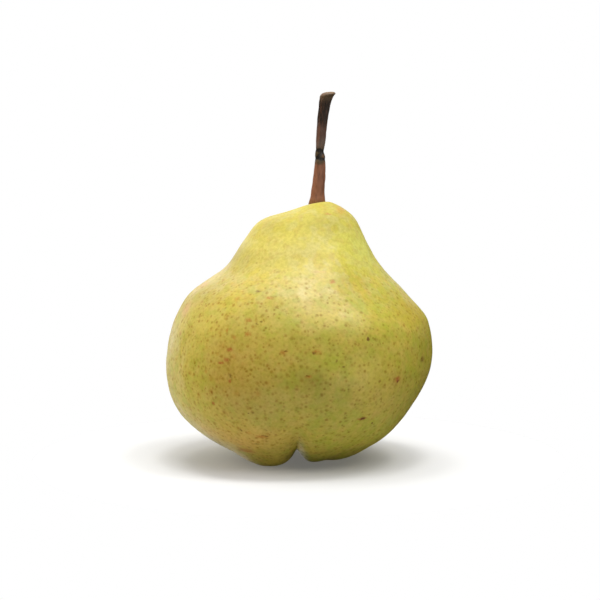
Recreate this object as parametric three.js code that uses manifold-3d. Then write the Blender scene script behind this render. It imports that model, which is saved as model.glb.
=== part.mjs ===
// A fresh pear that stands upright on three low lobes of its base.
//
// Millimetres, +Z up. The origin lies on the surface that the pear stands on, under the
// middle of its width and depth. The front, with the deep cleft in the base, faces -Y.
// Every piece is a loft through rings of points, from its lowest ring to its highest.

import * as THREE from 'three';
import { LoftGeometry } from 'three/addons/geometries/LoftGeometry.js';
import { mergeVertices } from 'three/addons/utils/BufferGeometryUtils.js';
import Module from 'manifold-3d';

const manifold = await Module();
manifold.setup();

// ---- driving dimensions --------------------------------------------------------------

const FRUIT_WIDTH = 80;
const FRUIT_DEPTH = 77;
const FRUIT_SIDES = 72;
const RINGS_PER_STATION = 2;

// The fruit's outline from the eye in its base, round the lobes and up to the socket of
// the stem. Each station is a level ring that runs from left to right at height z. With
// lean, the ring's front right side is that much higher than its middle.
const STATIONS = [
  { name: 'eye', z: 9.0, left: -1.8, right: 0.2, lean: 0 },
  { name: 'eye edge', z: 9.2, left: -4.7, right: 3.1, lean: 0 },
  { name: 'basin wall', z: 6.2, left: -7.8, right: 6.2, lean: 0 },
  { name: 'basin lip', z: 2.2, left: -10.6, right: 9, lean: 0 },
  { name: 'inner foot', z: 0.55, left: -13.1, right: 11.3, lean: 0 },
  { name: 'outer foot', z: 0.5, left: -16.2, right: 13.8, lean: 0 },
  { name: 'flank', z: 2.5, left: -21.4, right: 18.6, lean: 0 },
  { name: 'lower side', z: 8.7, left: -30.8, right: 27.6, lean: 0 },
  { name: 'low belly', z: 16.5, left: -37.2, right: 34, lean: 0 },
  { name: 'under belly', z: 25.1, left: -39.8, right: 38.5, lean: 0 },
  { name: 'belly', z: 33.5, left: -39.6, right: 40, lean: 0 },
  { name: 'upper belly', z: 42.5, left: -37.4, right: 38.5, lean: 0 },
  { name: 'shoulder', z: 50.7, left: -32.1, right: 31.7, lean: 0 },
  { name: 'waist', z: 57.9, left: -22.3, right: 24.9, lean: 0 },
  { name: 'neck', z: 64.9, left: -17.4, right: 20.6, lean: 0 },
  { name: 'crown edge', z: 71.9, left: -11.6, right: 17, lean: 0.3 },
  { name: 'crown', z: 75.2, left: -3.6, right: 13.3, lean: 0.6 },
  { name: 'socket rim', z: 77, left: 2, right: 9, lean: 0.7 },
  { name: 'socket mouth', z: 76.1, left: 2.5, right: 8.3, lean: 0.3 },
  { name: 'socket wall', z: 73.7, left: 2.4, right: 7.8, lean: 0 },
  { name: 'socket floor', z: 70.9, left: 2.6, right: 7.2, lean: 0 },
  { name: 'floor middle', z: 71.2, left: 4.3, right: 5.5, lean: 0 },
];
const LEAN_AZIMUTH = -40;

// Furrows that part the base into lobes. Each one is deepest at the foot of the fruit and
// fades out at the station named in endsAt. Angles are in degrees, round the fruit's axis.
const FURROWS = [
  { azimuth: -88, depth: 4.6, width: 7.5, rounding: 1.6, endsAt: 'belly' },
  { azimuth: -52, depth: 1, width: 18, rounding: 8, endsAt: 'low belly' },
  { azimuth: 40, depth: 1, width: 12, rounding: 4, endsAt: 'under belly' },
  { azimuth: 92, depth: 2.4, width: 9, rounding: 2.5, endsAt: 'under belly' },
  { azimuth: 151, depth: 1.3, width: 14, rounding: 5, endsAt: 'under belly' },
  { azimuth: 207, depth: 1.2, width: 13, rounding: 5, endsAt: 'under belly' },
];
const FRONT_CLEFT = FURROWS[0];

// The three lobes that the pear stands on reach down past the others.
const FEET = [
  { name: 'left front', azimuth: -130, drop: 1, width: 22 },
  { name: 'right', azimuth: 12, drop: 0.85, width: 20 },
  { name: 'back', azimuth: 118, drop: 1, width: 24 },
];

// Broad swellings of the flesh, in degrees round the fruit and millimetres up it.
const SWELLINGS = [
  { name: 'left cheek', azimuth: -128, z: 30, spread: 20, height: 22, rise: 0.9 },
  { name: 'right cheek', azimuth: -60, z: 27, spread: 22, height: 20, rise: 0.8 },
  { name: 'front shoulder', azimuth: -95, z: 50, spread: 40, height: 10, rise: 0.6 },
  { name: 'back cheek', azimuth: 75, z: 26, spread: 30, height: 16, rise: 0.3 },
  { name: 'front hollow', azimuth: -92, z: 41, spread: 40, height: 6.5, rise: -0.7 },
  { name: 'front waist', azimuth: -88, z: 57.5, spread: 42, height: 5, rise: 1 },
  { name: 'front crown', azimuth: -88, z: 71, spread: 42, height: 4.5, rise: -1 },
  { name: 'right dip', azimuth: -60, z: 52.5, spread: 22, height: 4, rise: -0.4 },
  { name: 'left shoulder', azimuth: -112, z: 55, spread: 18, height: 4, rise: 0.3 },
];

// The stem's centre line and width, from the root in its socket to the knob. tilt turns a
// ring about the depth axis, in degrees, so that its right side is the higher one.
const STEM_STATIONS = [
  { name: 'root', x: 4.9, y: 0, z: 71.7, width: 3.8, tilt: 0 },
  { name: 'lower root', x: 5.1, y: 0, z: 73.9, width: 4.3, tilt: 0 },
  { name: 'collar', x: 5.4, y: 0, z: 76.7, width: 5, tilt: 0 },
  { name: 'foot', x: 5.55, y: 0.1, z: 79.4, width: 4.15, tilt: 0 },
  { name: 'lower shaft', x: 5.83, y: 0.3, z: 82.6, width: 3.8, tilt: 0 },
  { name: 'middle shaft', x: 6.2, y: 0.6, z: 86.6, width: 3.45, tilt: 0 },
  { name: 'below ring', x: 6.3, y: 0.9, z: 90.3, width: 3.1, tilt: 0 },
  { name: 'ring', x: 6.2, y: 1, z: 91.9, width: 2.75, tilt: 0 },
  { name: 'pinch', x: 6.3, y: 1, z: 93.5, width: 2.55, tilt: 0 },
  { name: 'above ring', x: 6.5, y: 1.1, z: 95.5, width: 2.8, tilt: 0 },
  { name: 'upper shaft', x: 6.8, y: 1.1, z: 99.3, width: 2.95, tilt: 2 },
  { name: 'thickening', x: 7.2, y: 1, z: 103.1, width: 3.2, tilt: 4 },
  { name: 'throat', x: 7.65, y: 0.9, z: 106.2, width: 3.5, tilt: 7 },
  { name: 'knob', x: 8.15, y: 0.8, z: 108.3, width: 4, tilt: 9 },
  { name: 'beak', x: 8.6, y: 0.7, z: 109.3, width: 4.55, tilt: 8 },
  { name: 'knob edge', x: 8.75, y: 0.7, z: 109.9, width: 3.5, tilt: 6 },
  { name: 'end scar', x: 8.85, y: 0.7, z: 110.15, width: 1.8, tilt: 5 },
];
const STEM_SIDES = 20;
const STEM_DEPTH_RATIO = 0.94;
const STEM_RIDGES = 5;
const STEM_RIDGE_RELIEF = 0.04; // of the stem's radius

// The dried calyx hangs in the basin under the eye: a disc with sepals that reach out and
// curl down, and a tuft of stamens that point down out of it.
const CALYX_X = -0.8;
const CALYX_TOP = 8.6;
const CALYX_RADIUS = 2.6;
const CALYX_HEIGHT = 1;
const SEPALS = 5;
const SEPAL_REACH = 5.9;
const SEPAL_WIDTH = 2.7;
const SEPAL_THICKNESS = 0.7;
const SEPAL_DROP = 2.4;
const STAMENS = 9;
const STAMEN_LENGTH = 2.6;
const STAMEN_WIDTH = 0.6;

// ---- curves and rings ----------------------------------------------------------------

const degrees = THREE.MathUtils.degToRad;
const smoothstep = THREE.MathUtils.smoothstep;

// The angle from one azimuth to another, in degrees, the short way round.
function angleBetween(from, to) {
  return THREE.MathUtils.euclideanModulo(to - from + 180, 360) - 180;
}

// A smooth curve through one value of every station, at a place counted in stations.
function through(stations, key, place) {
  const last = stations.length - 1;
  const index = Math.min(Math.floor(place), last - 1);
  const part = place - index;
  const before = stations[Math.max(index - 1, 0)][key];
  const from = stations[index][key];
  const to = stations[index + 1][key];
  const after = stations[Math.min(index + 2, last)][key];
  const bend = 2 * before - 5 * from + 4 * to - after;
  const twist = 3 * from - before - 3 * to + after;
  return 0.5 * (2 * from + (to - before) * part + bend * part ** 2 + twist * part ** 3);
}

function stationIndex(stations, name) {
  return stations.findIndex((station) => station.name === name);
}

function loft(sections) {
  return new LoftGeometry(sections, { closed: true, capStart: true, capEnd: true });
}

// ---- fruit ---------------------------------------------------------------------------

const BASIN_WALL = stationIndex(STATIONS, 'basin wall');
const BASIN_LIP = stationIndex(STATIONS, 'basin lip');
const INNER_FOOT = stationIndex(STATIONS, 'inner foot');
const OUTER_FOOT = stationIndex(STATIONS, 'outer foot');
const FLANK = stationIndex(STATIONS, 'flank');
const UNDER_BELLY = stationIndex(STATIONS, 'under belly');
const CROWN = stationIndex(STATIONS, 'crown');
const SOCKET_MOUTH = stationIndex(STATIONS, 'socket mouth');

// How far the furrows draw the skin inwards at an azimuth and a place along the outline.
function furrowDepth(azimuth, place) {
  const opening = smoothstep(place, BASIN_WALL - 0.8, INNER_FOOT - 0.6);
  const widening = 1 + 0.5 * smoothstep(place, OUTER_FOOT, UNDER_BELLY);
  let depth = 0;
  for (const furrow of FURROWS) {
    const away = angleBetween(furrow.azimuth, azimuth);
    const rounded = Math.hypot(away, furrow.rounding) - furrow.rounding;
    const end = stationIndex(STATIONS, furrow.endsAt);
    const fading = 1 - smoothstep(place, OUTER_FOOT, end);
    depth += furrow.depth * Math.exp(-rounded / (furrow.width * widening)) * opening * fading;
  }
  return depth;
}

// How far the feet push the skin down.
function footDrop(azimuth, place) {
  const rising = smoothstep(place, BASIN_LIP, INNER_FOOT);
  const falling = 1 - smoothstep(place, OUTER_FOOT, FLANK + 0.5);
  let drop = 0;
  for (const foot of FEET) {
    const away = angleBetween(foot.azimuth, azimuth) / foot.width;
    drop += foot.drop * Math.exp(-(away ** 2)) * rising * falling;
  }
  return drop;
}

// How far the swellings push the skin outwards. The socket of the stem has none.
function swelling(azimuth, z, place) {
  let rise = 0;
  for (const swell of SWELLINGS) {
    const across = angleBetween(swell.azimuth, azimuth) / swell.spread;
    const up = (z - swell.z) / swell.height;
    rise += swell.rise * Math.exp(-(across ** 2) - up ** 2);
  }
  return rise * (1 - smoothstep(place, CROWN, SOCKET_MOUTH));
}

// A point of the skin. Furrows cut upwards into the base and sideways into the flank, and
// what would reach below the ground is flat on it.
function skinPoint(azimuth, place) {
  const left = through(STATIONS, 'left', place);
  const right = through(STATIONS, 'right', place);
  const lean = through(STATIONS, 'lean', place);
  const depth = furrowDepth(azimuth, place);
  const turned = smoothstep(place, OUTER_FOOT, UNDER_BELLY) * Math.PI / 2;
  const lift = lean * Math.cos(degrees(azimuth - LEAN_AZIMUTH)) - footDrop(azimuth, place);
  const z = through(STATIONS, 'z', place) + lift + depth * Math.cos(turned);
  const outwards = swelling(azimuth, z, place) - depth * Math.sin(turned);
  const middle = (left + right) / 2;
  const reach = (right - left) / 2;
  const cos = Math.cos(degrees(azimuth));
  const sin = Math.sin(degrees(azimuth));
  return new THREE.Vector3(
    middle + (reach + outwards) * cos,
    (reach * FRUIT_DEPTH / FRUIT_WIDTH + outwards) * sin,
    Math.max(z, 0),
  );
}

function makeFruit() {
  const rings = (STATIONS.length - 1) * RINGS_PER_STATION;
  const sections = [];
  for (let ring = 0; ring <= rings; ring++) {
    const section = [];
    for (let side = 0; side < FRUIT_SIDES; side++) {
      const azimuth = FRONT_CLEFT.azimuth + side / FRUIT_SIDES * 360;
      section.push(skinPoint(azimuth, ring / RINGS_PER_STATION));
    }
    sections.push(section);
  }
  return loft(sections);
}

// ---- stem ----------------------------------------------------------------------------

function makeStem() {
  const above = stationIndex(STEM_STATIONS, 'pinch');
  const rings = (STEM_STATIONS.length - 1) * 2;
  const sections = [];
  for (let ring = 0; ring <= rings; ring++) {
    const place = ring / 2;
    const radius = through(STEM_STATIONS, 'width', place) / 2;
    const tilt = degrees(through(STEM_STATIONS, 'tilt', place));
    const relief = STEM_RIDGE_RELIEF * smoothstep(place, above, above + 2);
    const section = [];
    for (let side = 0; side < STEM_SIDES; side++) {
      const angle = side / STEM_SIDES * 2 * Math.PI;
      const ridged = radius * (1 + relief * Math.cos(STEM_RIDGES * angle));
      section.push(new THREE.Vector3(
        through(STEM_STATIONS, 'x', place) + ridged * Math.cos(angle) * Math.cos(tilt),
        through(STEM_STATIONS, 'y', place) + ridged * Math.sin(angle) * STEM_DEPTH_RATIO,
        through(STEM_STATIONS, 'z', place) + ridged * Math.cos(angle) * Math.sin(tilt),
      ));
    }
    sections.push(section);
  }
  return loft(sections);
}

// ---- calyx ---------------------------------------------------------------------------

function toSolid(geometry) {
  const bare = new THREE.BufferGeometry().copy(geometry);
  bare.deleteAttribute('normal');
  bare.deleteAttribute('uv');
  const merged = mergeVertices(bare);
  return new manifold.Manifold(new manifold.Mesh({
    numProp: 3,
    vertProperties: new Float32Array(merged.attributes.position.array),
    triVerts: new Uint32Array(merged.index.array),
  }));
}

function toGeometry(solid) {
  const mesh = solid.getMesh();
  const geometry = new THREE.BufferGeometry();
  geometry.setAttribute('position', new THREE.BufferAttribute(mesh.vertProperties, 3));
  geometry.setIndex(new THREE.BufferAttribute(mesh.triVerts, 1));
  geometry.computeVertexNormals();
  return geometry;
}

// A ring round a point of a curve in the upright plane at an azimuth. across and thick are
// the ring's full width along the surface and its height.
function bladeRing(azimuth, radius, z, across, thick, sides) {
  const section = [];
  for (let side = 0; side < sides; side++) {
    const angle = side / sides * 2 * Math.PI;
    const offset = Math.cos(angle) * across / 2;
    section.push(new THREE.Vector3(
      CALYX_X + radius * Math.cos(azimuth) - offset * Math.sin(azimuth),
      radius * Math.sin(azimuth) + offset * Math.cos(azimuth),
      z + Math.sin(angle) * thick / 2,
    ));
  }
  return section;
}

// A dried sepal, from inside the disc out to its tip, which curls down.
function makeSepal(azimuth) {
  const steps = 7;
  const root = CALYX_TOP - CALYX_HEIGHT / 2;
  const sections = [];
  for (let step = 0; step <= steps; step++) {
    const along = step / steps;
    const radius = THREE.MathUtils.lerp(CALYX_RADIUS / 2, SEPAL_REACH, along);
    const across = SEPAL_WIDTH * (1 - 0.8 * along ** 1.5);
    const thick = SEPAL_THICKNESS * (1 - 0.4 * along);
    sections.push(bladeRing(azimuth, radius, root - SEPAL_DROP * along ** 2, across, thick, 8));
  }
  return loft(sections);
}

// A dried stamen that stands down out of the disc and leans outwards.
function makeStamen(azimuth) {
  const root = new THREE.Vector3(0, 0, CALYX_TOP - CALYX_HEIGHT / 2);
  const sections = [];
  for (const along of [1, 0.5, 0]) {
    const section = [];
    const width = STAMEN_WIDTH * (1 - 0.4 * along);
    const radius = CALYX_RADIUS * (0.4 + 0.25 * along);
    for (let side = 0; side < 5; side++) {
      const angle = side / 5 * 2 * Math.PI;
      section.push(new THREE.Vector3(
        CALYX_X + radius * Math.cos(azimuth) + width / 2 * Math.cos(angle),
        radius * Math.sin(azimuth) + width / 2 * Math.sin(angle),
        root.z - STAMEN_LENGTH * along,
      ));
    }
    sections.push(section);
  }
  return loft(sections);
}

function makeCalyx() {
  const disc = new THREE.CylinderGeometry(CALYX_RADIUS * 0.8, CALYX_RADIUS, CALYX_HEIGHT, 24);
  disc.rotateX(-Math.PI / 2);
  disc.translate(CALYX_X, 0, CALYX_TOP - CALYX_HEIGHT / 2);
  let solid = toSolid(disc);
  for (let index = 0; index < SEPALS; index++) {
    const azimuth = degrees(FRONT_CLEFT.azimuth) + index / SEPALS * 2 * Math.PI;
    solid = solid.add(toSolid(makeSepal(azimuth)));
  }
  for (let index = 0; index < STAMENS; index++) {
    solid = solid.add(toSolid(makeStamen(index / STAMENS * 2 * Math.PI)));
  }
  return toGeometry(solid);
}

// ---- the pear ------------------------------------------------------------------------

const SKIN = new THREE.MeshStandardMaterial({ color: 0xb9ab4f, roughness: 0.45, metalness: 0 });
const WOOD = new THREE.MeshStandardMaterial({ color: 0x5f4238, roughness: 0.8, metalness: 0 });
const HUSK = new THREE.MeshStandardMaterial({ color: 0x3b2a1e, roughness: 0.9, metalness: 0 });

function piece(name, geometry, material) {
  const mesh = new THREE.Mesh(geometry, material);
  mesh.name = name;
  return mesh;
}

const pear = new THREE.Group();
pear.name = 'pear';
pear.add(piece('fruit', makeFruit(), SKIN));
pear.add(piece('stem', makeStem(), WOOD));
pear.add(piece('calyx', makeCalyx(), HUSK));

export default pear;
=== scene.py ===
"""A fresh pear: fine skin, stem and dried calyx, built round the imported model.

The shapes are worked out in millimetres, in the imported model's own frame, and written to
the meshes in metres. The fruit, the stem and the calyx each replace the plain solid of
the same piece. Shader coordinates are the meshes' own, so they are metres in that frame.
"""

import math

import bpy
import numpy as np
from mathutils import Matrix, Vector


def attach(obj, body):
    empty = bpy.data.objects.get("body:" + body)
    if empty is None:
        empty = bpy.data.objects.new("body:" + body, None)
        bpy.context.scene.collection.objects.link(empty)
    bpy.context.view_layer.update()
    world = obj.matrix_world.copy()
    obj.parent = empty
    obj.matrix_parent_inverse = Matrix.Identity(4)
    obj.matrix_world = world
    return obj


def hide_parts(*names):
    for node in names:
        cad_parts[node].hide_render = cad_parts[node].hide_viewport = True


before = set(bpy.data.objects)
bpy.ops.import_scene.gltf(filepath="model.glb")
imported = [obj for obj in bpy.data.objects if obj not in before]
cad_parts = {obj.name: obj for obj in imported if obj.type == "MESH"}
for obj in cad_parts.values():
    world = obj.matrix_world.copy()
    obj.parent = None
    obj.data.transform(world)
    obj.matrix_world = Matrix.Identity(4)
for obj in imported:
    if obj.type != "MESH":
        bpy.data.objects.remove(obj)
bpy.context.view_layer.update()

MM = 0.001
FRONT_CLEFT_AZIMUTH = -88.0
RIPPLE_WAVES = 24
RIPPLE_RANGE = (0.7, 1.4)  # of the waves' frequencies, as shares of the middle one

# ---- curves ----------------------------------------------------------------------------


def smoothstep(value, low, high):
    part = np.clip((value - low) / (high - low), 0.0, 1.0)
    return part * part * (3.0 - 2.0 * part)


def angle_between(start, end):
    """The angle from one azimuth to another, in degrees, the short way round."""
    return (end - start + 180.0) % 360.0 - 180.0


def through(values, place):
    """A smooth curve through the values, at places counted in values."""
    values = np.asarray(values, float)
    last = len(values) - 1
    index = np.clip(np.floor(place).astype(int), 0, last - 1)
    part = place - index
    before = values[np.clip(index - 1, 0, last)]
    start = values[index]
    end = values[index + 1]
    after = values[np.clip(index + 2, 0, last)]
    bend = 2.0 * before - 5.0 * start + 4.0 * end - after
    twist = 3.0 * start - before - 3.0 * end + after
    return 0.5 * (2.0 * start + (end - before) * part + bend * part**2 + twist * part**3)


def ripple(points, wavelength, seed):
    """Gentle random relief of height about 1, from waves that cross in many directions."""
    draw = np.random.default_rng(seed)
    heading = draw.normal(size=(RIPPLE_WAVES, 3))
    heading /= np.linalg.norm(heading, axis=1, keepdims=True)
    often = draw.uniform(*RIPPLE_RANGE, RIPPLE_WAVES)
    phase = draw.uniform(0.0, 2.0 * math.pi, RIPPLE_WAVES)
    total = np.zeros(points.shape[:-1])
    for wave in range(RIPPLE_WAVES):
        along = points @ heading[wave]
        total += np.cos(2.0 * math.pi * along * often[wave] / wavelength + phase[wave])
    return total / math.sqrt(RIPPLE_WAVES / 2.0)


# ---- meshes ----------------------------------------------------------------------------


def closed_surface(rings):
    """Points in metres and faces of a closed surface, from rings in millimetres.

    Each ring runs counter-clockwise as seen from the last ring. Both ends are closed by a
    fan of triangles.
    """
    count, sides = rings.shape[:2]
    ends = [rings[0].mean(axis=0), rings[-1].mean(axis=0)]
    points = np.vstack([rings.reshape(-1, 3), ends]) * MM
    faces = []
    for ring in range(count - 1):
        for side in range(sides):
            after = (side + 1) % sides
            low, high = ring * sides, (ring + 1) * sides
            faces.append((low + side, low + after, high + after, high + side))
    bottom, top, last = count * sides, count * sides + 1, (count - 1) * sides
    for side in range(sides):
        after = (side + 1) % sides
        faces.append((after, side, bottom))
        faces.append((last + side, last + after, top))
    return points.tolist(), faces


def make_piece(name, surfaces, replaces):
    """One object made of closed surfaces, each given as rings, in place of a plain solid."""
    points, faces = [], []
    for rings in surfaces:
        start = len(points)
        more_points, more_faces = closed_surface(rings)
        points += more_points
        faces += [[start + corner for corner in face] for face in more_faces]
    mesh = bpy.data.meshes.new(name)
    mesh.from_pydata(points, [], faces)
    mesh.polygons.foreach_set("use_smooth", [True] * len(mesh.polygons))
    mesh.update()
    piece = bpy.data.objects.new(name, mesh)
    bpy.context.scene.collection.objects.link(piece)
    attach(piece, "root")
    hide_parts(replaces)
    return piece


# ---- the fruit's surface ---------------------------------------------------------------

FRUIT_WIDTH = 80.0
FRUIT_DEPTH = 77.0
LEAN_AZIMUTH = -40.0

# The outline from the eye in the base, round the lobes and up to the socket of the stem:
# height, left edge, right edge, and how much higher the front right of the ring is.
STATIONS = {
    "eye": (9.0, -1.8, 0.2, 0.0),
    "eye edge": (9.2, -4.7, 3.1, 0.0),
    "basin wall": (6.2, -7.8, 6.2, 0.0),
    "basin lip": (2.2, -10.6, 9.0, 0.0),
    "inner foot": (0.55, -13.1, 11.3, 0.0),
    "outer foot": (0.5, -16.2, 13.8, 0.0),
    "flank": (2.5, -21.4, 18.6, 0.0),
    "lower side": (8.7, -30.8, 27.6, 0.0),
    "low belly": (16.5, -37.2, 34.0, 0.0),
    "under belly": (25.1, -39.8, 38.5, 0.0),
    "belly": (33.5, -39.6, 40.0, 0.0),
    "upper belly": (42.5, -37.4, 38.5, 0.0),
    "shoulder": (50.7, -32.1, 31.7, 0.0),
    "waist": (57.9, -22.3, 24.9, 0.0),
    "neck": (64.9, -17.4, 20.6, 0.0),
    "crown edge": (71.9, -11.6, 17.0, 0.3),
    "crown": (75.2, -3.6, 13.3, 0.6),
    "socket rim": (77.0, 2.0, 9.0, 0.7),
    "socket mouth": (76.1, 2.8, 8.0, 0.3),
    "socket wall": (73.7, 2.7, 7.5, 0.0),
    "socket floor": (70.9, 2.6, 7.2, 0.0),
    "floor middle": (71.2, 4.3, 5.5, 0.0),
}
AT = {name: place for place, name in enumerate(STATIONS)}
HEIGHTS, LEFTS, RIGHTS, LEANS = np.array(list(STATIONS.values())).T

# Furrows that part the base into lobes: azimuth, depth, width, rounding, and the station
# at which each one fades out.
FURROWS = [
    (FRONT_CLEFT_AZIMUTH, 4.6, 7.5, 1.6, "belly"),
    (-52.0, 1.0, 18.0, 8.0, "low belly"),
    (40.0, 1.0, 12.0, 4.0, "under belly"),
    (92.0, 2.4, 9.0, 2.5, "under belly"),
    (151.0, 1.3, 14.0, 5.0, "under belly"),
    (207.0, 1.2, 13.0, 5.0, "under belly"),
]

FURROW_OPENING = (AT["basin wall"] - 0.8, AT["inner foot"] - 0.6)
FURROW_WIDENING = 0.5  # how much of its width a furrow gains from the feet to the belly

# The lobes that the pear stands on: azimuth, drop, width.
FEET = [(-130.0, 1.0, 22.0), (12.0, 0.85, 20.0), (118.0, 1.0, 24.0)]
FEET_END = AT["flank"] + 0.5

# Broad swellings: azimuth, height, spread in degrees, spread in height, rise.
SWELLINGS = [
    (-128.0, 30.0, 20.0, 22.0, 0.9),
    (-60.0, 27.0, 22.0, 20.0, 0.8),
    (-95.0, 50.0, 40.0, 10.0, 0.6),
    (75.0, 26.0, 30.0, 16.0, 0.3),
    (-92.0, 41.0, 40.0, 6.5, -0.7),
    (-88.0, 57.5, 42.0, 5.0, 1.0),
    (-88.0, 71.0, 42.0, 4.5, -1.0),
    (-60.0, 52.5, 22.0, 4.0, -0.4),
    (-112.0, 55.0, 18.0, 4.0, 0.3),
]


def furrow_depth(azimuth, place):
    opening = smoothstep(place, *FURROW_OPENING)
    widening = 1.0 + FURROW_WIDENING * smoothstep(place, AT["outer foot"], AT["under belly"])
    depth = 0.0
    for middle, deepest, width, rounding, end in FURROWS:
        away = np.hypot(angle_between(middle, azimuth), rounding) - rounding
        fading = 1.0 - smoothstep(place, AT["outer foot"], AT[end])
        depth = depth + deepest * np.exp(-away / (width * widening)) * opening * fading
    return depth


def foot_drop(azimuth, place):
    rising = smoothstep(place, AT["basin lip"], AT["inner foot"])
    falling = 1.0 - smoothstep(place, AT["outer foot"], FEET_END)
    drop = 0.0
    for middle, lowest, width in FEET:
        away = angle_between(middle, azimuth) / width
        drop = drop + lowest * np.exp(-(away**2)) * rising * falling
    return drop


def swelling(azimuth, z, place):
    rise = 0.0
    for middle, height, spread, tall, highest in SWELLINGS:
        across = angle_between(middle, azimuth) / spread
        rise = rise + highest * np.exp(-(across**2) - ((z - height) / tall) ** 2)
    return rise * (1.0 - smoothstep(place, AT["crown"], AT["socket mouth"]))


def flesh(azimuth, place):
    """Points of the fruit's plain surface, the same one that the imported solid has."""
    left, right = through(LEFTS, place), through(RIGHTS, place)
    depth = furrow_depth(azimuth, place)
    turned = smoothstep(place, AT["outer foot"], AT["under belly"]) * math.pi / 2.0
    lean = through(LEANS, place) * np.cos(np.radians(azimuth - LEAN_AZIMUTH))
    z = through(HEIGHTS, place) + lean - foot_drop(azimuth, place) + depth * np.cos(turned)
    outwards = swelling(azimuth, z, place) - depth * np.sin(turned)
    middle, reach = (left + right) / 2.0, (right - left) / 2.0
    x = middle + (reach + outwards) * np.cos(np.radians(azimuth))
    y = (reach * FRUIT_DEPTH / FRUIT_WIDTH + outwards) * np.sin(np.radians(azimuth))
    return np.stack([x, y, np.maximum(z, 0.0)], axis=-1)


# ---- the fruit's skin ------------------------------------------------------------------

SKIN_SIDES = 480
SKIN_STEP = 0.85  # between rings
FEWEST_STEPS = 6  # between two stations

# Relief in the skin: wavelength, height and seed of the random draw.
SKIN_RELIEF = [(17.0, 0.1, 3), (7.0, 0.03, 5), (2.4, 0.01, 8)]
RELIEF_SETS_IN = (0.1, 2.0)  # above the ground


def ring_places():
    """Places of the skin's rings, evenly spaced along the outline but closer in bends."""
    places = [0.0]
    for index in range(len(STATIONS) - 1):
        rise = HEIGHTS[index + 1] - HEIGHTS[index]
        run = (RIGHTS[index + 1] - LEFTS[index + 1] - RIGHTS[index] + LEFTS[index]) / 2.0
        steps = max(FEWEST_STEPS, round(math.hypot(rise, run) / SKIN_STEP))
        places += [index + (step + 1) / steps for step in range(steps)]
    return np.array(places)


def outward(points):
    """Unit normals of a grid of points whose rows are rings."""
    around = np.roll(points, -1, axis=1) - np.roll(points, 1, axis=1)
    up = np.gradient(points, axis=0)
    normal = np.cross(around, up)
    return normal / np.maximum(np.linalg.norm(normal, axis=-1, keepdims=True), 1e-9)


def make_skin():
    places = ring_places()
    azimuths = FRONT_CLEFT_AZIMUTH + np.arange(SKIN_SIDES) * 360.0 / SKIN_SIDES
    place, azimuth = np.meshgrid(places, azimuths, indexing="ij")
    points = flesh(azimuth, place)
    relief = np.zeros(place.shape)
    for wavelength, height, seed in SKIN_RELIEF:
        relief += height * ripple(points, wavelength, seed)
    shown = smoothstep(place, AT["eye"], AT["basin lip"])
    shown *= 1.0 - smoothstep(place, AT["crown"], AT["socket mouth"])
    off_ground = smoothstep(points[..., 2], *RELIEF_SETS_IN)
    points += (relief * shown * off_ground)[..., None] * outward(points)
    points[..., 2] = np.maximum(points[..., 2], 0.0)
    skin = make_piece("pear_skin", [points], replaces="fruit")
    add_bake_map(skin, len(places))
    return skin


def add_bake_map(skin, count):
    """A map that unrolls the skin's rings: round the fruit across, along the outline up."""
    layer = skin.data.uv_layers.new(name="OFBake")
    heights = np.arange(count) / (count - 1)
    corners = np.zeros((len(skin.data.loops), 2))
    vertex = np.zeros(len(skin.data.loops), int)
    skin.data.loops.foreach_get("vertex_index", vertex)
    start = 0
    for polygon in skin.data.polygons:
        size = polygon.loop_total
        near = vertex[start:start + size]
        ring, side = near // SKIN_SIDES, near % SKIN_SIDES
        wraps = (ring < count) & (side == 0)
        far_side = (side == SKIN_SIDES - 1).any()
        across = (side + (wraps & far_side) * SKIN_SIDES) / SKIN_SIDES
        ends = ring >= count
        if ends.any():
            across[ends] = across[~ends].mean()
        corners[start:start + size, 0] = across
        corners[start:start + size, 1] = heights[np.minimum(ring, count - 1)]
        start += size
    layer.data.foreach_set("uv", corners.ravel())


# ---- the stem --------------------------------------------------------------------------

# Centre x, centre y, height, width and tilt of rings from the root to the end scar.
STEM_STATIONS = {
    "root": (4.9, 0.0, 71.7, 3.8, 0.0),
    "lower root": (5.1, 0.0, 73.9, 4.3, 0.0),
    "collar": (5.4, 0.0, 76.7, 5.0, 0.0),
    "foot": (5.55, 0.1, 79.4, 4.15, 0.0),
    "lower shaft": (5.83, 0.3, 82.6, 3.8, 0.0),
    "middle shaft": (6.2, 0.6, 86.6, 3.45, 0.0),
    "below ring": (6.3, 0.9, 90.3, 3.1, 0.0),
    "ring": (6.2, 1.0, 91.9, 2.75, 0.0),
    "pinch": (6.3, 1.0, 93.5, 2.55, 0.0),
    "above ring": (6.5, 1.1, 95.5, 2.8, 0.0),
    "upper shaft": (6.8, 1.1, 99.3, 2.95, 2.0),
    "thickening": (7.2, 1.0, 103.1, 3.2, 4.0),
    "throat": (7.65, 0.9, 106.2, 3.5, 7.0),
    "knob": (8.15, 0.8, 108.3, 4.0, 9.0),
    "beak": (8.6, 0.7, 109.3, 4.55, 8.0),
    "knob edge": (8.75, 0.7, 109.9, 3.5, 6.0),
    "end scar": (8.85, 0.7, 110.15, 1.8, 5.0),
}
STEM_AT = {name: place for place, name in enumerate(STEM_STATIONS)}
STEM_X, STEM_Y, STEM_Z, STEM_WIDTH, STEM_TILT = np.array(list(STEM_STATIONS.values())).T
STEM_SIDES = 96
STEM_RINGS_EACH = 14
STEM_DEPTH_RATIO = 0.94

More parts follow.
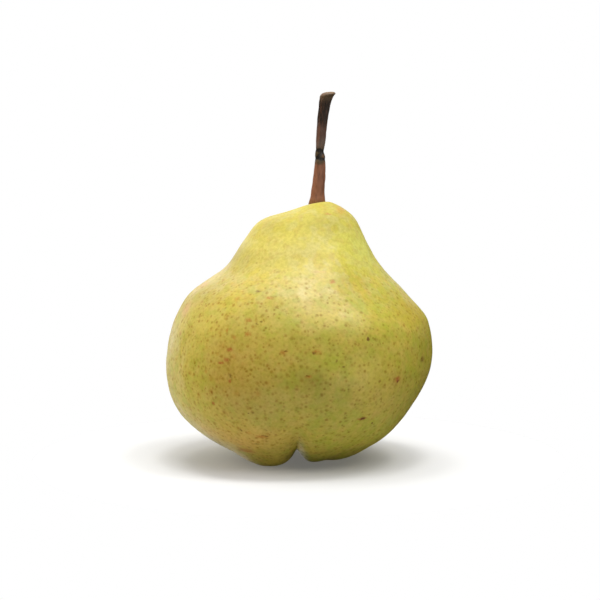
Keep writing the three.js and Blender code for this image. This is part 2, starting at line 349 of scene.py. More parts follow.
# The bark's relief is in shares of the stem's radius: count of ridges, relief and phase.
BARK_RIDGES = [(5, 0.035, 0.4), (9, 0.02, 2.1), (14, 0.014, 4.0)]
RIDGE_TWIST = 0.03  # radians in each millimetre of height
SMOOTH_SHARE = 0.35  # how much of the ridges the smoother lower half has
BARK_GRAIN = (2.2, 0.018, 21)  # wavelength, relief and seed of the random draw
GRAIN_ACROSS = 3.0  # the grain is squeezed across the stem and stretched along it
GRAIN_ALONG = 0.7

# The black scar that rings the stem, as slanting strokes that cross: height at the
# stem's middle, rise over run, and half the width.
RING_MIDDLE = 6.3
RING_STROKES = [(91.6, 0.95, 0.75), (92.8, -0.3, 0.6), (90.4, -0.1, 0.55)]
RING_GROOVE = 0.08  # depth of a stroke, as a share of the radius


def make_stem():
    count = (len(STEM_STATIONS) - 1) * STEM_RINGS_EACH + 1
    place, angle = np.meshgrid(
        np.linspace(0.0, len(STEM_STATIONS) - 1, count),
        np.arange(STEM_SIDES) / STEM_SIDES * 2.0 * math.pi,
        indexing="ij",
    )
    z = through(STEM_Z, place)
    radius = through(STEM_WIDTH, place) / 2.0
    woody = smoothstep(place, STEM_AT["pinch"], STEM_AT["upper shaft"])
    ridges = np.zeros(place.shape)
    for ridge_count, relief, phase in BARK_RIDGES:
        ridges += relief * np.cos(ridge_count * angle + phase + RIDGE_TWIST * z)
    ridges *= SMOOTH_SHARE + (1.0 - SMOOTH_SHARE) * woody
    for level, slope, half in RING_STROKES:
        line = z - level - slope * radius * np.cos(angle)
        ridges -= RING_GROOVE * np.exp(-((line / half) ** 2))
    across = radius * GRAIN_ACROSS
    squeezed = np.stack([np.cos(angle) * across, np.sin(angle) * across, z * GRAIN_ALONG], -1)
    wavelength, relief, seed = BARK_GRAIN
    ridges += relief * ripple(squeezed, wavelength, seed)
    tilt = np.radians(through(STEM_TILT, place))
    reach = radius * (1.0 + ridges)
    points = np.stack(
        [
            through(STEM_X, place) + reach * np.cos(angle) * np.cos(tilt),
            through(STEM_Y, place) + reach * np.sin(angle) * STEM_DEPTH_RATIO,
            z + reach * np.cos(angle) * np.sin(tilt),
        ],
        axis=-1,
    )
    return make_piece("pear_stem", [points], replaces="stem")


# ---- the calyx -------------------------------------------------------------------------

CALYX_MIDDLE = np.array([-0.8, 0.0, 8.1])
CALYX_RADIUS = 2.6
CALYX_HEIGHT = 1.0
CALYX_SEED = 11

# The disc's outline from its underside up: shares of its radius and of its height.
DISC_PROFILE = [(0.3, -0.35), (0.55, -0.5), (0.85, -0.42), (1.0, -0.1), (0.95, 0.3), (0.8, 0.5)]
DISC_SIDES = 48
DISC_LOBES = 0.03  # how far the disc swells at each sepal, as a share of its radius

SEPALS = 5
SEPAL_RINGS = 26
SEPAL_SIDES = 20
SEPAL_ROOT = 0.5 * CALYX_RADIUS
SEPAL_REACH = 5.9
SEPAL_WIDTH = 2.9
SEPAL_TAPER = 0.82  # how much of its width is gone at the tip
SEPAL_KEEL = 0.35  # how far its edges curl up
SEPAL_HALF_THICKNESS = 0.2
SEPAL_THINNING = 0.4  # how much of its thickness is gone at the tip
SEPAL_DROP = 2.4

# Waves along a dried sepal: height, and radians from its root to its tip.
EDGE_WAVE = (0.1, 17.0)
SAG_WAVE = (0.16, 9.0)
SWAY_WAVE = (0.35, 3.0)
LARGEST_PHASE = 6.28  # about a full turn

STAMENS = 14
STAMEN_RINGS = 14
STAMEN_SIDES = 8
STAMEN_ROOT = 0.42 * CALYX_RADIUS
STAMEN_LENGTH = 2.5
STAMEN_SHORTEST = 0.7  # as a share of the longest
STAMEN_LEANS = (0.15 * CALYX_RADIUS, 0.4 * CALYX_RADIUS)  # of the tips, least and most
STAMEN_TWIST = 0.5  # at most, in radians
THREAD_RADIUS = 0.13
ANTHER_SWELLING = 0.1
ANTHER_PLACE = 0.94  # this and its spread are shares of the stamen's length
ANTHER_SPREAD = 0.07


def waving(wave, along, phase):
    height, radians = wave
    return height * np.sin(along * radians + phase)


def blade(azimuth, draw):
    """Rings of a dried sepal from the disc to its tip: thin, keeled, waved and curled."""
    along = np.linspace(0.0, 1.0, SEPAL_RINGS)[:, None]
    turn = np.arange(SEPAL_SIDES)[None, :] / SEPAL_SIDES * 2.0 * math.pi
    phase = draw.uniform(0.0, LARGEST_PHASE, 3)
    half = SEPAL_WIDTH / 2.0 * (1.0 - SEPAL_TAPER * along**1.4)
    half = half * (1.0 + waving(EDGE_WAVE, along, phase[0]))
    across = np.cos(turn) * half
    keel = SEPAL_KEEL * (np.abs(across) / (SEPAL_WIDTH / 2.0)) ** 1.5
    thick = SEPAL_HALF_THICKNESS * (1.0 - SEPAL_THINNING * along)
    drop = SEPAL_DROP * along**2 + waving(SAG_WAVE, along, phase[1]) * along
    radius = SEPAL_ROOT + (SEPAL_REACH - SEPAL_ROOT) * along
    flat = across + waving(SWAY_WAVE, along, phase[2]) * along
    x = radius * math.cos(azimuth) - flat * math.sin(azimuth)
    y = radius * math.sin(azimuth) + flat * math.cos(azimuth)
    z = -drop + keel + np.sin(turn) * thick
    return np.stack([x, y, z], axis=-1) + CALYX_MIDDLE


def thread(azimuth, draw):
    """Rings of a dried stamen, from its hanging tip up into the disc."""
    along = np.linspace(1.0, 0.0, STAMEN_RINGS)[:, None]
    turn = np.arange(STAMEN_SIDES)[None, :] / STAMEN_SIDES * 2.0 * math.pi
    radius = STAMEN_ROOT + draw.uniform(*STAMEN_LEANS) * along**1.6
    anther = np.exp(-(((along - ANTHER_PLACE) / ANTHER_SPREAD) ** 2))
    thick = THREAD_RADIUS + ANTHER_SWELLING * anther
    twist = azimuth + draw.uniform(-STAMEN_TWIST, STAMEN_TWIST) * along
    length = STAMEN_LENGTH * draw.uniform(STAMEN_SHORTEST, 1.0)
    x = radius * np.cos(twist) + thick * np.cos(turn)
    y = radius * np.sin(twist) + thick * np.sin(turn)
    z = np.broadcast_to(-length * along, x.shape)
    return np.stack([x, y, z], axis=-1) + CALYX_MIDDLE


def disc():
    """Rings of the disc in the middle, from its underside up."""
    turn = np.arange(DISC_SIDES) / DISC_SIDES * 2.0 * math.pi
    rings = []
    for share, height in DISC_PROFILE:
        radius = share * CALYX_RADIUS * (1.0 + DISC_LOBES * np.cos(SEPALS * turn))
        level = np.full_like(turn, height * CALYX_HEIGHT)
        rings.append(np.stack([radius * np.cos(turn), radius * np.sin(turn), level], -1))
    return np.array(rings) + CALYX_MIDDLE


def make_calyx():
    draw = np.random.default_rng(CALYX_SEED)
    parts = [disc()]
    for index in range(SEPALS):
        azimuth = math.radians(FRONT_CLEFT_AZIMUTH) + index / SEPALS * 2.0 * math.pi
        parts.append(blade(azimuth, draw))
    for index in range(STAMENS):
        parts.append(thread(index / STAMENS * 2.0 * math.pi, draw))
    return make_piece("pear_calyx", parts, replaces="calyx")


# ---- shader building blocks ------------------------------------------------------------


class Nodes:
    """A node tree, with a short call for each kind of node that is used here.

    An input is a number, a colour or another node's output.
    """

    def __init__(self, tree):
        self.tree = tree

    def add(self, kind, inputs=None, **settings):
        node = self.tree.nodes.new(kind)
        for key, value in settings.items():
            setattr(node, key, value)
        self.feed(node, inputs or {})
        return node

    def feed(self, node, inputs):
        for key, value in inputs.items():
            if isinstance(value, bpy.types.NodeSocket):
                self.tree.links.new(value, node.inputs[key])
            else:
                node.inputs[key].default_value = value

    def math(self, operation, first, second=0.0, third=0.0, clamp=False):
        inputs = {0: first, 1: second, 2: third}
        node = self.add("ShaderNodeMath", inputs, operation=operation, use_clamp=clamp)
        return node.outputs[0]

    def vector(self, operation, first, second=(0.0, 0.0, 0.0), output=0):
        node = self.add("ShaderNodeVectorMath", {0: first, 1: second}, operation=operation)
        return node.outputs[output]

    def noise(self, place, size, detail=2.0, roughness=0.5):
        """Noise about 0.5 whose blotches are about the given size, in millimetres."""
        inputs = {"Vector": place, "Scale": 1.0 / (size * MM), "Detail": detail}
        inputs["Roughness"] = roughness
        return self.add("ShaderNodeTexNoise", inputs).outputs

    def ramp(self, value, low, high, start=0.0, end=1.0):
        """A smooth rise from start to end, while the value goes from low to high."""
        inputs = {0: value, 1: low, 2: high, 3: start, 4: end}
        node = self.add("ShaderNodeMapRange", inputs, interpolation_type="SMOOTHSTEP")
        return node.outputs[0]

    def mix(self, share, first, second, blend="MIX"):
        inputs = {0: share, 6: first, 7: second}
        node = self.add("ShaderNodeMix", inputs, data_type="RGBA", blend_type=blend)
        return node.outputs[2]


class Shader(Nodes):
    """A new material, which knows its surface point in the part's frame, in metres."""

    def __init__(self, name):
        self.material = bpy.data.materials.new(name)
        self.material.use_nodes = True
        super().__init__(self.material.node_tree)
        self.bsdf = self.tree.nodes["Principled BSDF"]
        self.place = self.add("ShaderNodeTexCoord").outputs["Object"]

    def axis(self, index):
        """The x, y or z of the surface point."""
        split = self.add("ShaderNodeSeparateXYZ", {0: self.place})
        return split.outputs[index]

    def channels(self, value):
        """The red, green and blue of a colour."""
        return self.add("ShaderNodeSeparateColor", {0: value}).outputs


def colour(red, green, blue):
    """A colour given as it looks on a screen, from 0 to 255, for a shader's socket."""
    def linear(value):
        share = value / 255.0
        return share / 12.92 if share <= 0.04045 else ((share + 0.055) / 1.055) ** 2.4

    return (linear(red), linear(green), linear(blue), 1.0)


# ---- skin material ---------------------------------------------------------------------

NECK = colour(212, 198, 80)
CROWN = colour(190, 177, 70)
YELLOW = colour(198, 177, 79)
GREEN = colour(177, 173, 60)
RUSSET = colour(188, 146, 70)
PALE = colour(218, 194, 82)
BLUSH = colour(208, 148, 84)
# Painted shade: a dark olive laid in the front furrow, in the cleft and on the lobes' bottoms
# where they meet the ground.
FURROW_AND_FOOT_SHADE = colour(110, 108, 40)
# Painted shade: a dull olive that darkens the fruit's right side, where it is turned from the
# light.
RIGHT_SIDE_SHADE = colour(168, 145, 57)
TAN = colour(212, 172, 88)
GOLD = colour(178, 153, 34)
LIME = colour(212, 210, 106)
# Painted shade: a dull ochre that darkens the left side of the crown, neck and shoulder.
UPPER_LEFT_SHADE = colour(168, 150, 62)
WARM = colour(196, 177, 42)
CREAM = colour(214, 199, 112)
DOT_OLIVE = colour(196, 168, 84)  # the dots, specks and grain are tints that darken the skin
DOT_RUSSET = colour(206, 160, 80)
SPECK = colour(232, 184, 120)
GRAIN = colour(205, 205, 140)
MARK_COLOURS = {
    "orange": colour(178, 118, 44),
    "red": colour(168, 92, 42),
    "brown": colour(112, 78, 18),
    "dark": colour(96, 44, 14),
}

# Noise in the skin: size in millimetres, detail and roughness.
BROAD_NOISE = (22.0, 2.0, 0.5)
BLOTCH_NOISE = (5.0, 3.0, 0.6)
MOTTLE_NOISE = (2.4, 1.0, 0.5)
CREAM_NOISE = (3.4, 1.0, 0.5)
GRAIN_NOISE = (0.9, 2.0, 0.6)
RAGGED_NOISE = (0.55, 1.0, 0.5)

# Where each tone sets in and how strongly: low, high, and the share at either end. Places
# across or up the fruit are in metres, and the others are levels of the noise.
GREEN_ACROSS = (-25.0 * MM, 40.0 * MM, 0.15, 0.6)
GREEN_BROADLY = (0.3, 0.7, -0.2, 0.2)
GREEN_IN_BLOTCHES = (0.35, 0.65, -0.32, 0.32)
GREEN_IN_MOTTLE = (0.35, 0.65, -0.22, 0.22)
NECK_UPWARDS = (55.0 * MM, 63.0 * MM, 0.0, 0.85)
CROWN_UPWARDS = (69.0 * MM, 74.0 * MM, 0.0, 1.0)
CREAM_IN_BLOTCHES = (0.44, 0.62, 0.0, 0.68)
CREAM_UPWARDS = (42.0 * MM, 58.0 * MM, 0.2, 1.0)
RUSSET_IN_MOTTLE = (0.5, 0.7, 0.0, 0.2)
GRAIN_IN_NOISE = (0.35, 0.65, 0.0, 0.3)
DOTS_DOWNWARDS = (65.0 * MM, 47.0 * MM, 0.3, 1.0)
RUSSET_DOTS_ACROSS = (10.0 * MM, -30.0 * MM, 0.0, 0.7)
SPECKS_DOWNWARDS = (66.0 * MM, 58.0 * MM, 0.0, 1.0)
ROUGH_IN_BLOTCHES = (0.3, 0.7, 0.32, 0.42)
ROUGH_UPWARDS = (64.0 * MM, 74.0 * MM, 0.0, 0.2)

# Dots in the skin: spacing and size in millimetres, and a number that sets them apart.
MAIN_DOTS = (1.4, 0.5, 1)
FINE_DOTS = (1.3, 0.33, 2)
SPECKS = (3.4, 0.8, 5)
MAIN_DOT_SHARE = 0.82
FINE_DOT_SHARE = 0.55
DOT_SHIFT = (0.013, 0.029, 0.017)  # in metres, for each step of that number
SMALLEST_DOT = 0.6  # as a share of that size
DOT_SPREAD = 0.7  # from the smallest to the largest, in the same way
DOT_EDGE = 1.4  # where a dot ends, as a share of its own size
DOT_CORE = 0.1  # where it is darkest, in the same way
PALEST_DOT = 0.4  # as a share of the darkest
DOT_ROUGHNESS = 0.2  # what a dot adds to the skin's

# The skin's bump: how far a dot dents it, and how far the mottle raises it.
DOT_DENT = -0.5
MOTTLE_RELIEF = 0.6

# How far noise pushes edges about: size of the noise and sway, in millimetres.
PATCH_SWAY = (9.0, 9.0)
DOT_SWAY = (0.9, 0.35)
MARK_SWAY = (1.0, 1.0)

# How much of a mark's colour shows between its darkest bits, and in them.
SOLID_SHARE = {"orange": 0.5, "red": 0.6, "brown": 0.6, "dark": 0.8}
DARKEST_SHARE = 0.9
RAGGED_LEVELS = (0.4, 0.6)  # of the noise, where the darkest bits begin and are full
MARK_CORE = 0.2

# Marks in the skin, by colour: azimuth, height, half the width and half the height.
MARKS = {
    "orange": [
        (-71.0, 55.8, 1.5, 1.0),
        (-105.0, 51.8, 1.4, 0.7),
        (-65.5, 74.5, 1.8, 0.45),
        (-113.5, 45.9, 1.4, 0.9),
        (-123.0, 42.6, 0.6, 1.5),
        (-113.0, 42.0, 1.5, 0.9),
        (-119.0, 40.8, 0.8, 0.8),
        (-97.0, 37.3, 1.4, 0.9),
        (-83.5, 37.3, 1.9, 1.2),
        (-86.0, 30.6, 1.5, 0.8),
        (-106.0, 12.0, 3.0, 0.7),
        (-123.0, 6.2, 4.5, 1.3),
    ],
    "red": [
        (-120.2, 37.4, 1.5, 0.9),
        (-121.0, 34.6, 1.4, 1.0),
        (-123.2, 33.6, 1.4, 0.7),
        (-118.4, 28.6, 0.8, 0.8),
        (-126.8, 21.7, 0.8, 0.8),
        (-44.8, 28.2, 1.8, 1.4),
        (-57.4, 17.1, 2.6, 0.7),
    ],
    "brown": [
        (-109.4, 44.9, 0.6, 0.5),
        (-107.4, 45.5, 0.6, 0.5),
        (-118.3, 30.2, 0.8, 1.1),
        (-110.2, 19.5, 0.6, 0.5),
        (-108.2, 19.6, 0.7, 0.6),
        (-103.2, 14.2, 0.6, 0.5),
        (-116.0, 13.8, 0.5, 0.7),
        (-104.5, 12.2, 1.6, 0.25),
        (-111.0, 9.3, 1.6, 0.25),
        (-96.2, 37.6, 0.7, 0.4),
        (-84.3, 37.0, 0.9, 0.5),
        (-86.6, 30.8, 0.6, 0.5),
        (-75.0, 34.8, 0.5, 0.6),
        (-72.0, 33.1, 0.5, 0.5),
        (-25.0, 32.3, 2.6, 1.5),
        (-50.0, 15.2, 0.6, 0.5),
        (-113.0, 53.4, 1.2, 0.5),
    ],
    "dark": [
        (-60.8, 40.4, 0.8, 0.8),
        (-57.0, 17.2, 1.3, 0.8),
        (-44.2, 27.4, 0.5, 0.6),
    ],
}

# Wide soft patches, some of them painted shade: azimuth, height, half the width, half the
# height, strength, colour.
PATCHES = [
    (-118.0, 30.0, 16.0, 20.0, 0.55, RUSSET),
    (-95.0, 34.0, 14.0, 9.0, 0.2, RUSSET),
    (-122.0, 11.0, 22.0, 8.0, 0.8, TAN),
    (-50.0, 24.0, 14.0, 8.0, 0.3, RUSSET),
    (-58.0, 26.0, 15.0, 14.0, 0.5, PALE),
    # painted shade in the front furrow
    (-84.0, 29.5, 7.0, 6.0, 0.25, FURROW_AND_FOOT_SHADE),
    (-24.0, 46.0, 15.0, 9.0, 0.8, GOLD),
    (-46.0, 28.0, 5.0, 4.5, 0.35, RUSSET),
    (-74.0, 47.0, 10.0, 5.0, 0.2, PALE),
    (-80.0, 62.0, 17.0, 7.0, 0.6, WARM),
    (-130.0, 64.0, 24.0, 9.0, 0.7, CREAM),
    (-79.0, 58.8, 4.0, 1.2, 0.4, BLUSH),
    # painted shade on the left side of the crown, neck and shoulder
    (-150.0, 71.0, 12.0, 7.0, 0.5, UPPER_LEFT_SHADE),
    (-155.0, 52.0, 20.0, 10.0, 0.8, UPPER_LEFT_SHADE),
    (-170.0, 61.0, 22.0, 9.0, 0.7, UPPER_LEFT_SHADE),
    (-29.0, 64.0, 15.0, 13.0, 0.9, LIME),
    # painted shade in the cleft and on the lobes' bottoms by the ground
    (-90.0, 3.0, 9.0, 3.6, 0.6, FURROW_AND_FOOT_SHADE),
    (-68.0, 2.5, 18.0, 5.0, 0.5, FURROW_AND_FOOT_SHADE),
    (-161.0, 46.5, 5.0, 4.0, 0.6, BLUSH),
    (-165.0, 53.5, 5.0, 2.5, 0.4, BLUSH),
    (-22.0, 76.0, 6.0, 1.6, 0.6, BLUSH),
    # painted shade in the cleft
    (-84.0, 2.0, 5.0, 2.5, 0.6, FURROW_AND_FOOT_SHADE),
    (-60.0, 34.0, 13.0, 10.0, 0.2, GREEN),
    (-75.0, 18.0, 12.0, 8.0, 0.15, GREEN),
    # painted shade on the fruit's right side
    (0.0, 24.0, 32.0, 20.0, 0.6, RIGHT_SIDE_SHADE),
]
PLACES_TRIED = 800  # along the fruit's side, to find the one at a height


def on_flesh(azimuth, height):
    """The point of the fruit's side at an azimuth and a height."""
    place = np.linspace(AT["outer foot"], AT["socket rim"], PLACES_TRIED)
    points = flesh(np.full(place.shape, azimuth), place)
    return points[np.abs(points[:, 2] - height).argmin()]


def spot(shader, place, azimuth, height, wide, tall, core=0.0):
    """An oval mark on the fruit's side, full inside its core and fading to its edge."""
    inputs = {
        "Vector": place,
        "Location": (on_flesh(azimuth, height) * MM).tolist(),
        "Rotation": (0.0, 0.0, math.radians(azimuth + 90.0)),
        "Scale": (wide * MM, wide * MM, tall * MM),
    }
    inside = shader.add("ShaderNodeMapping", inputs, vector_type="TEXTURE").outputs[0]
    return shader.ramp(shader.vector("LENGTH", inside, output=1), 1.0, core)


def wobbled(shader, size, sway):
    """The surface point pushed about by noise of a size and a sway in millimetres."""
    push = shader.noise(shader.place, size)["Color"]
    push = shader.vector("SUBTRACT", push, (0.5, 0.5, 0.5))
    push = shader.vector("MULTIPLY", push, (sway * MM, sway * MM, sway * MM))
    return shader.vector("ADD", shader.place, push)


def dots(shader, place, spacing, size, number):
    """Small round marks, scattered through space so that the skin shows some of them."""
    shifted = shader.vector("ADD", place, tuple(number * step for step in DOT_SHIFT))
    inputs = {"Vector": shifted, "Scale": 1.0 / (spacing * MM), "Randomness": 1.0}
    cells = shader.add("ShaderNodeTexVoronoi", inputs, feature="F1")
    luck = shader.channels(cells.outputs["Color"])
    reach = shader.math("MULTIPLY_ADD", luck[0], size * DOT_SPREAD, size * SMALLEST_DOT)
    away = shader.math("DIVIDE", cells.outputs["Distance"], reach)
    dark = shader.math("MULTIPLY_ADD", luck[1], 1.0 - PALEST_DOT, PALEST_DOT)
    return shader.ramp(shader.math("MULTIPLY", away, spacing), DOT_EDGE, DOT_CORE, 0.0, dark)


def skin_ground(shader, blotch, mottle):
    """The skin's colour before any dots and marks, with painted shade in some of its patches.
    """
    height, side = shader.axis(2), shader.axis(0)
    broad = shader.noise(shader.place, *BROAD_NOISE)["Fac"]
    green = shader.ramp(side, *GREEN_ACROSS)
    green = shader.math("ADD", green, shader.ramp(broad, *GREEN_BROADLY))
    green = shader.math("ADD", green, shader.ramp(blotch, *GREEN_IN_BLOTCHES), clamp=True)
    green = shader.math("ADD", green, shader.ramp(mottle[0], *GREEN_IN_MOTTLE), clamp=True)
    ground = shader.mix(green, YELLOW, GREEN)
    ground = shader.mix(shader.ramp(height, *NECK_UPWARDS), ground, NECK)
    ground = shader.mix(shader.ramp(height, *CROWN_UPWARDS), ground, CROWN)
    drifting = wobbled(shader, *PATCH_SWAY)
    for azimuth, z, wide, tall, strength, tint in PATCHES:
        share = spot(shader, drifting, azimuth, z, wide, tall)
        ground = shader.mix(shader.math("MULTIPLY", share, strength), ground, tint)
    creamy = shader.ramp(shader.noise(shader.place, *CREAM_NOISE)["Fac"], *CREAM_IN_BLOTCHES)
    creamy = shader.math("MULTIPLY", creamy, shader.ramp(height, *CREAM_UPWARDS))
    ground = shader.mix(creamy, ground, CREAM, "SATURATION")
    ground = shader.mix(shader.ramp(mottle[1], *RUSSET_IN_MOTTLE), ground, RUSSET)
    grain = shader.ramp(shader.noise(shader.place, *GRAIN_NOISE)["Fac"], *GRAIN_IN_NOISE)
    return shader.mix(grain, ground, GRAIN, "MULTIPLY")


def skin_dots(shader, base):
    """The skin's colour with its dots, and the main dots' own strength."""
    height, side = shader.axis(2), shader.axis(0)
    place = wobbled(shader, *DOT_SWAY)
    belly = shader.ramp(height, *DOTS_DOWNWARDS)
    left = shader.ramp(side, *RUSSET_DOTS_ACROSS)
    tint = shader.mix(left, DOT_OLIVE, DOT_RUSSET)
    fine = dots(shader, place, *FINE_DOTS)
    fine = shader.math("MULTIPLY", fine, shader.math("MULTIPLY", belly, FINE_DOT_SHARE))
    base = shader.mix(fine, base, tint, "MULTIPLY")
    main = dots(shader, place, *MAIN_DOTS)
    main = shader.math("MULTIPLY", main, shader.math("MULTIPLY", belly, MAIN_DOT_SHARE))
    base = shader.mix(main, base, tint, "MULTIPLY")
    specks = shader.math("MULTIPLY", dots(shader, place, *SPECKS), left)
    specks = shader.math("MULTIPLY", specks, shader.ramp(height, *SPECKS_DOWNWARDS))
    return shader.mix(specks, base, SPECK, "MULTIPLY"), main


def skin_marks(shader, base):
    """The skin's colour with the larger marks on it."""
    place = wobbled(shader, *MARK_SWAY)
    ragged = shader.noise(shader.place, *RAGGED_NOISE)["Fac"]
    for name, spots in MARKS.items():
        mark = 0.0
        for azimuth, z, wide, tall in spots:
            oval = spot(shader, place, azimuth, z, wide, tall, MARK_CORE)
            mark = shader.math("MAXIMUM", mark, oval)
        solid = shader.ramp(ragged, *RAGGED_LEVELS, SOLID_SHARE[name], DARKEST_SHARE)
        base = shader.mix(shader.math("MULTIPLY", mark, solid), base, MARK_COLOURS[name])
    return base


def make_skin_material():
    shader = Shader("pear_skin_waxy")
    blotch = shader.noise(shader.place, *BLOTCH_NOISE)["Fac"]
    mottle = shader.channels(shader.noise(shader.place, *MOTTLE_NOISE)["Color"])
    base = skin_ground(shader, blotch, mottle)
    base, main_dots = skin_dots(shader, base)
    base = skin_marks(shader, base)

    raised = shader.math("MULTIPLY", mottle[2], MOTTLE_RELIEF)
    raised = shader.math("MULTIPLY_ADD", main_dots, DOT_DENT, raised)
    bump = {"Strength": 0.4, "Distance": 0.1 * MM, "Height": raised}
    rough = shader.ramp(blotch, *ROUGH_IN_BLOTCHES)
    rough = shader.math("MULTIPLY_ADD", main_dots, DOT_ROUGHNESS, rough)
    rough = shader.math("ADD", rough, shader.ramp(shader.axis(2), *ROUGH_UPWARDS))
    shader.feed(
        shader.bsdf,
        {
            "Base Color": base,
            "Roughness": rough,
            "Specular IOR Level": 0.3,
            "Normal": shader.add("ShaderNodeBump", bump).outputs[0],
            "Subsurface Weight": 0.2,
            "Subsurface Radius": (1.0, 0.7, 0.25),
            "Subsurface Scale": 2.5 * MM,
        },
    )
    return shader.material


# ---- stem and calyx materials ----------------------------------------------------------

# The bark's own orange-brown at the foot, darkened a little by painted shadow where the stem
# enters the fruit.
BARK_FOOT_AND_SHADOW = colour(132, 86, 44)
BARK_RED = colour(144, 92, 64)
BARK_OLIVE = colour(86, 68, 42)
BARK_GREY = colour(112, 92, 78)
BARK_MAUVE = colour(102, 72, 58)
BARK_BROWN = colour(52, 38, 28)
KNOB_BROWN = colour(104, 82, 60)
RING_BLACK = colour(26, 19, 12)
SCAR_TAN = colour(132, 102, 66)
HUSK_DARK = colour(44, 32, 22)
HUSK_LIGHT = colour(92, 68, 44)

# The bark from the root to the scar: height where a colour is full, and the colour.
BARK_BANDS = [
    # the foot's colour, partly painted shadow where the stem meets the fruit
    (77.0, BARK_FOOT_AND_SHADOW),
    (79.5, BARK_RED),
    (88.0, BARK_RED),
    (89.6, BARK_OLIVE),
    (92.6, BARK_OLIVE),
    (94.6, BARK_GREY),
    (97.5, BARK_MAUVE),
    (99.0, BARK_MAUVE),
    (101.8, BARK_BROWN),
    (106.5, BARK_BROWN),
    (109.0, KNOB_BROWN),
]

# Noise in the bark and the husk: size in millimetres, detail and roughness.
STREAK_NOISE = (0.8, 3.0, 0.6)
BARK_NOISE = (1.6, 3.0, 0.5)
HUSK_NOISE = (1.2, 4.0, 0.6)
STREAK_SQUEEZE = (1.0, 1.0, 0.12)  # makes the streaks long

# Where each tone sets in and how strongly: low, high, and the share at either end.
RED_IN_STREAKS = (0.5, 0.7, 0.0, 0.5)
BROWN_IN_STREAKS = (0.5, 0.3, 0.0, 0.45)
TAN_UPWARDS = (109.3 * MM, 110.2 * MM, 0.0, 0.7)
BARK_ROUGHNESS = (0.3, 0.7, 0.55, 0.75)
HUSK_TONES = (0.35, 0.65, 0.0, 1.0)

BAND_WANDER = 2.0 * MM  # how far noise moves the edges of the bands
RING_WANDER = 1.4 * MM  # and those of the ring's strokes
RING_EDGE = 1.3 * MM  # where a stroke ends, for each millimetre of half its width
RING_CORE = 0.5 * MM  # where it is full, in the same way
RING_SHARE = 0.92
STREAK_RELIEF = 0.7


def make_stem_material():
    shader = Shader("stem_bark")
    height, side = shader.axis(2), shader.axis(0)
    squeezed = shader.vector("MULTIPLY", shader.place, STREAK_SQUEEZE)
    streaks = shader.channels(shader.noise(squeezed, *STREAK_NOISE)["Color"])
    blotch = shader.noise(shader.place, *BARK_NOISE)["Fac"]
    uneven = shader.math("SUBTRACT", blotch, 0.5)
    wander = shader.math("MULTIPLY_ADD", uneven, BAND_WANDER, height)

    base = BARK_BANDS[0][1]
    for (start, _), (end, bark) in zip(BARK_BANDS, BARK_BANDS[1:]):
        base = shader.mix(shader.ramp(wander, start * MM, end * MM), base, bark)
    base = shader.mix(shader.ramp(streaks[0], *RED_IN_STREAKS), base, BARK_RED)
    base = shader.mix(shader.ramp(streaks[1], *BROWN_IN_STREAKS), base, BARK_BROWN)
    across = shader.math("SUBTRACT", side, RING_MIDDLE * MM)
    rough_height = shader.math("MULTIPLY_ADD", uneven, RING_WANDER, height)
    for level, slope, half in RING_STROKES:
        line = shader.math("MULTIPLY_ADD", across, slope, level * MM)
        away = shader.math("ABSOLUTE", shader.math("SUBTRACT", rough_height, line))
        stroke = shader.ramp(away, half * RING_EDGE, half * RING_CORE, 0.0, RING_SHARE)
        base = shader.mix(stroke, base, RING_BLACK)
    base = shader.mix(shader.ramp(wander, *TAN_UPWARDS), base, SCAR_TAN)

    raised = shader.math("MULTIPLY_ADD", streaks[2], STREAK_RELIEF, blotch)
    bump = {"Strength": 0.5, "Distance": 0.12 * MM, "Height": raised}
    shader.feed(
        shader.bsdf,
        {
            "Base Color": base,
            "Roughness": shader.ramp(blotch, *BARK_ROUGHNESS),
            "Normal": shader.add("ShaderNodeBump", bump).outputs[0],
        },
    )
    return shader.material


def make_calyx_material():
    shader = Shader("calyx_husk")
    blotch = shader.noise(shader.place, *HUSK_NOISE)["Fac"]
    bump = {"Strength": 0.7, "Distance": 0.15 * MM, "Height": blotch}
    shader.feed(
        shader.bsdf,
        {
            "Base Color": shader.mix(shader.ramp(blotch, *HUSK_TONES), HUSK_DARK, HUSK_LIGHT),
            "Roughness": 0.85,
            "Normal": shader.add("ShaderNodeBump", bump).outputs[0],
        },
    )
    return shader.material


# ---- studio ----------------------------------------------------------------------------

CAMERA_DISTANCE = 550.0
CAMERA_ELEVATION = 6.0
CAMERA_CLIP = (10.0, 20000.0)
CAMERA_TARGET = Vector((0.3, 0.0, 48.1))
FRAME_WIDTH = 180.0  # what the frame spans at the target
SENSOR_WIDTH = 36.0
WHITE = (1.0, 1.0, 1.0, 1.0)


def aim(thing, source):
    """Turn a camera or a lamp so that it looks away from its source."""
    thing.rotation_mode = "QUATERNION"
    thing.rotation_quaternion = (-source).to_track_quat("-Z", "Y")


def make_camera():
    data = bpy.data.cameras.new("studio_camera")
    data.sensor_width = SENSOR_WIDTH
    data.lens = SENSOR_WIDTH * CAMERA_DISTANCE / FRAME_WIDTH
    data.clip_start, data.clip_end = (distance * MM for distance in CAMERA_CLIP)
    camera = bpy.data.objects.new("studio_camera", data)
    bpy.context.scene.collection.objects.link(camera)
    lift = math.radians(CAMERA_ELEVATION)
    back = Vector((0.0, -math.cos(lift), math.sin(lift)))
    camera.location = (CAMERA_TARGET + back * CAMERA_DISTANCE) * MM
    aim(camera, back)
    bpy.context.scene.camera = camera


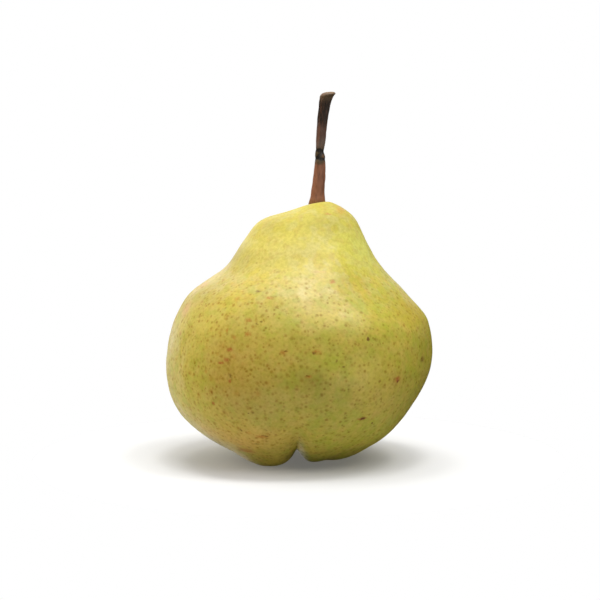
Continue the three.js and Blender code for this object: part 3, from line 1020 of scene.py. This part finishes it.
# The lamps: azimuth and elevation of where each one shines from, how wide it looks in
# degrees, and its level. A level of 1 makes a white surface that faces it show as white.
# Those at the left are screened so that they leave no gleam on the skin.
LAMPS = {
    "above": (-50.0, 84.0, 14.0, 0.31),
    "above_left": (150.0, 77.0, 14.0, 0.17),
    "above_right": (-12.0, 67.0, 14.0, 0.24),
    "front_right": (-52.0, 60.0, 50.0, 0.53),
    "front_left": (-135.0, 60.0, 50.0, 0.19),
    "left": (180.0, 25.0, 50.0, 0.33),
    "low_left": (180.0, -15.0, 40.0, 0.42),
    "low_front": (-45.0, -15.0, 40.0, 0.17),
    "fill": (-90.0, 25.0, 50.0, 0.05),
    "high_back": (90.0, 60.0, 50.0, 0.25),
    "back": (90.0, 25.0, 50.0, 0.15),
    "back_left": (125.0, 20.0, 50.0, 0.16),
    "low_back_left": (125.0, -20.0, 50.0, 0.14),
    "back_right": (45.0, 25.0, 50.0, 0.05),
}
SCREENED = ("left", "low_left")
FLOOR_WHITE = 0.55
FLOOR_GLOW = 0.12
FLOOR_RADIUS = 80.0
FLOOR_CORNERS = 96


def make_lamps():
    for name, (azimuth, elevation, width, level) in LAMPS.items():
        data = bpy.data.lights.new(name, "SUN")
        data.energy = level * math.pi
        data.angle = math.radians(width)
        lamp = bpy.data.objects.new(name, data)
        bpy.context.scene.collection.objects.link(lamp)
        lamp.visible_camera = False
        lamp.visible_glossy = name not in SCREENED
        turn, lift = math.radians(azimuth), math.radians(elevation)
        flat = math.cos(lift)
        source = Vector((flat * math.cos(turn), flat * math.sin(turn), math.sin(lift)))
        aim(lamp, source)


def make_world():
    """Surroundings that the camera sees as white, and that give no light."""
    world = bpy.data.worlds.new("studio_world")
    world.use_nodes = True
    nodes = Nodes(world.node_tree)
    seen = nodes.add("ShaderNodeLightPath").outputs["Is Camera Ray"]
    background = world.node_tree.nodes["Background"]
    nodes.feed(background, {"Color": WHITE, "Strength": seen})
    bpy.context.scene.world = world


def make_floor():
    mesh = bpy.data.meshes.new("floor")
    turns = [2.0 * math.pi * corner / FLOOR_CORNERS for corner in range(FLOOR_CORNERS)]
    reach = FLOOR_RADIUS * MM
    rim = [(reach * math.cos(turn), reach * math.sin(turn), 0.0) for turn in turns]
    mesh.from_pydata(rim, [], [list(range(FLOOR_CORNERS))])
    floor = bpy.data.objects.new("floor", mesh)
    bpy.context.scene.collection.objects.link(floor)
    floor.visible_glossy = False
    shader = Shader("floor_pale")
    shader.feed(
        shader.bsdf,
        {
            "Base Color": (FLOOR_WHITE, FLOOR_WHITE, FLOOR_WHITE, 1.0),
            "Roughness": 0.9,
            "Specular IOR Level": 0.0,
            "Emission Color": WHITE,
            "Emission Strength": FLOOR_GLOW,
        },
    )
    floor.data.materials.append(shader.material)


def make_studio():
    make_floor()
    make_lamps()
    make_world()
    bpy.context.scene.view_settings.view_transform = "Standard"


# ---- the whole scene -------------------------------------------------------------------

make_camera()
make_skin().data.materials.append(make_skin_material())
make_stem().data.materials.append(make_stem_material())
make_calyx().data.materials.append(make_calyx_material())
make_studio()
